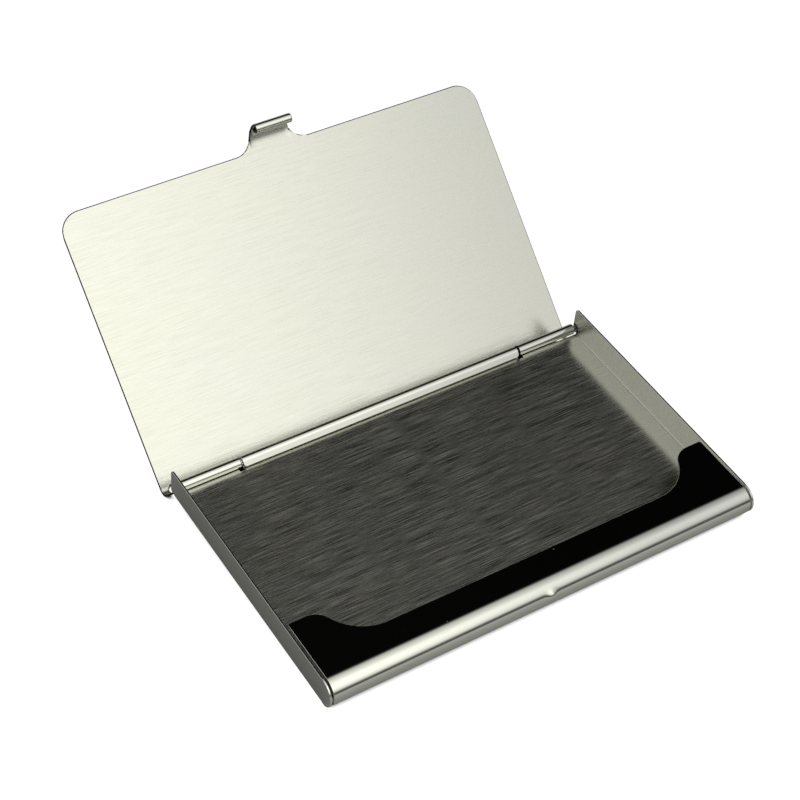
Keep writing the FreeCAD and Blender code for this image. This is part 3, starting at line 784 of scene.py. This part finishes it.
def makeStudio(look):
    # light from a direction = key * heights(angle round the hinge line) * sides(x) + back left light.
    # To the eye the surroundings are plain white
    world = bpy.data.worlds.new("studio")
    bpy.context.scene.world = world
    world.use_nodes = True
    tree = world.node_tree
    tree.nodes.clear()
    place = addNode(tree, "ShaderNodeTexCoord", (-1400, 0))
    parts = addNode(tree, "ShaderNodeSeparateXYZ", (-1200, 0))
    tree.links.new(place.outputs["Generated"], parts.inputs[0])
    x, y, z = parts.outputs
    front = mathNode(tree, "MULTIPLY", (-1000, 100), y, -1.0)
    angle = mathNode(tree, "ARCTAN2", (-850, 100), z, front)
    height = mathNode(tree, "DIVIDE", (-700, 100), angle, math.pi)
    heightRamp = addNode(tree, "ShaderNodeValToRGB", (-500, 200))
    fillRamp(heightRamp.color_ramp, look["heights"])
    tree.links.new(height, heightRamp.inputs[0])
    halved = mathNode(tree, "MULTIPLY", (-850, -100), x, 0.5)
    sideways = mathNode(tree, "ADD", (-700, -100), halved, 0.5)
    sideRamp = addNode(tree, "ShaderNodeValToRGB", (-500, -100))
    fillRamp(sideRamp.color_ramp, look["sides"])
    tree.links.new(sideways, sideRamp.inputs[0])
    key = mathNode(tree, "MULTIPLY", (-200, 200), heightRamp.outputs[0], look["key"])
    keyLight = addNode(tree, "ShaderNodeBackground", (0, 150))
    tree.links.new(sideRamp.outputs[0], keyLight.inputs[0])
    tree.links.new(key, keyLight.inputs[1])
    # second soft light behind on the left: bright where a direction is close to its own
    near = addNode(tree, "ShaderNodeVectorMath", (-1000, -400), operation="DOT_PRODUCT")
    near.inputs[1].default_value = Vector(look["backLeftFrom"]).normalized()
    tree.links.new(place.outputs["Generated"], near.inputs[0])
    nearRamp = addNode(tree, "ShaderNodeValToRGB", (-500, -400))
    fillRamp(nearRamp.color_ramp, look["backLeftSpread"])
    tree.links.new(near.outputs["Value"], nearRamp.inputs[0])
    fill = mathNode(tree, "MULTIPLY", (-200, -300), nearRamp.outputs[0], look["backLeft"])
    fillLight = addNode(tree, "ShaderNodeBackground", (0, -100))
    tree.links.new(fill, fillLight.inputs[1])
    both = addNode(tree, "ShaderNodeAddShader", (200, 50))
    tree.links.new(keyLight.outputs[0], both.inputs[0])
    tree.links.new(fillLight.outputs[0], both.inputs[1])
    plain = addNode(tree, "ShaderNodeBackground", (200, 250))
    plain.inputs[0].default_value = (1, 1, 1, 1)
    plain.inputs[1].default_value = look["glow"]
    seen = addNode(tree, "ShaderNodeLightPath", (200, 550))
    pick = addNode(tree, "ShaderNodeMixShader", (450, 100))
    result = addNode(tree, "ShaderNodeOutputWorld", (650, 100))
    tree.links.new(seen.outputs["Is Camera Ray"], pick.inputs[0])
    tree.links.new(both.outputs[0], pick.inputs[1])
    tree.links.new(plain.outputs[0], pick.inputs[2])
    tree.links.new(pick.outputs[0], result.inputs[0])


makeStudio(studio)
bpy.context.scene.view_settings.view_transform = "Standard"
print("studio: key light from the front, soft light behind on the left")

# camera: place in metres, focal length in frame widths
view = {
    "place": (-0.16563, -0.20248, 0.29185), "towards": (0.41494, 0.56596, -0.71241),
    "right": (0.84415, -0.5316, 0.06935), "focal": 2.5685, "near": 0.01, "far": 10.0,
}
camera = bpy.data.objects.new("camera", bpy.data.cameras.new("camera"))
bpy.context.scene.collection.objects.link(camera)
forward = Vector(view["towards"]).normalized()
right = Vector(view["right"]).normalized()
up = right.cross(forward)
aim = Matrix((right, up, -forward)).transposed().to_4x4()
camera.matrix_world = Matrix.Translation(view["place"]) @ aim
camera.data.sensor_width = 36.0
camera.data.lens = view["focal"] * camera.data.sensor_width
camera.data.clip_start = view["near"]
camera.data.clip_end = view["far"]
bpy.context.scene.camera = camera
print("camera: focal length", view["focal"], "frame widths")
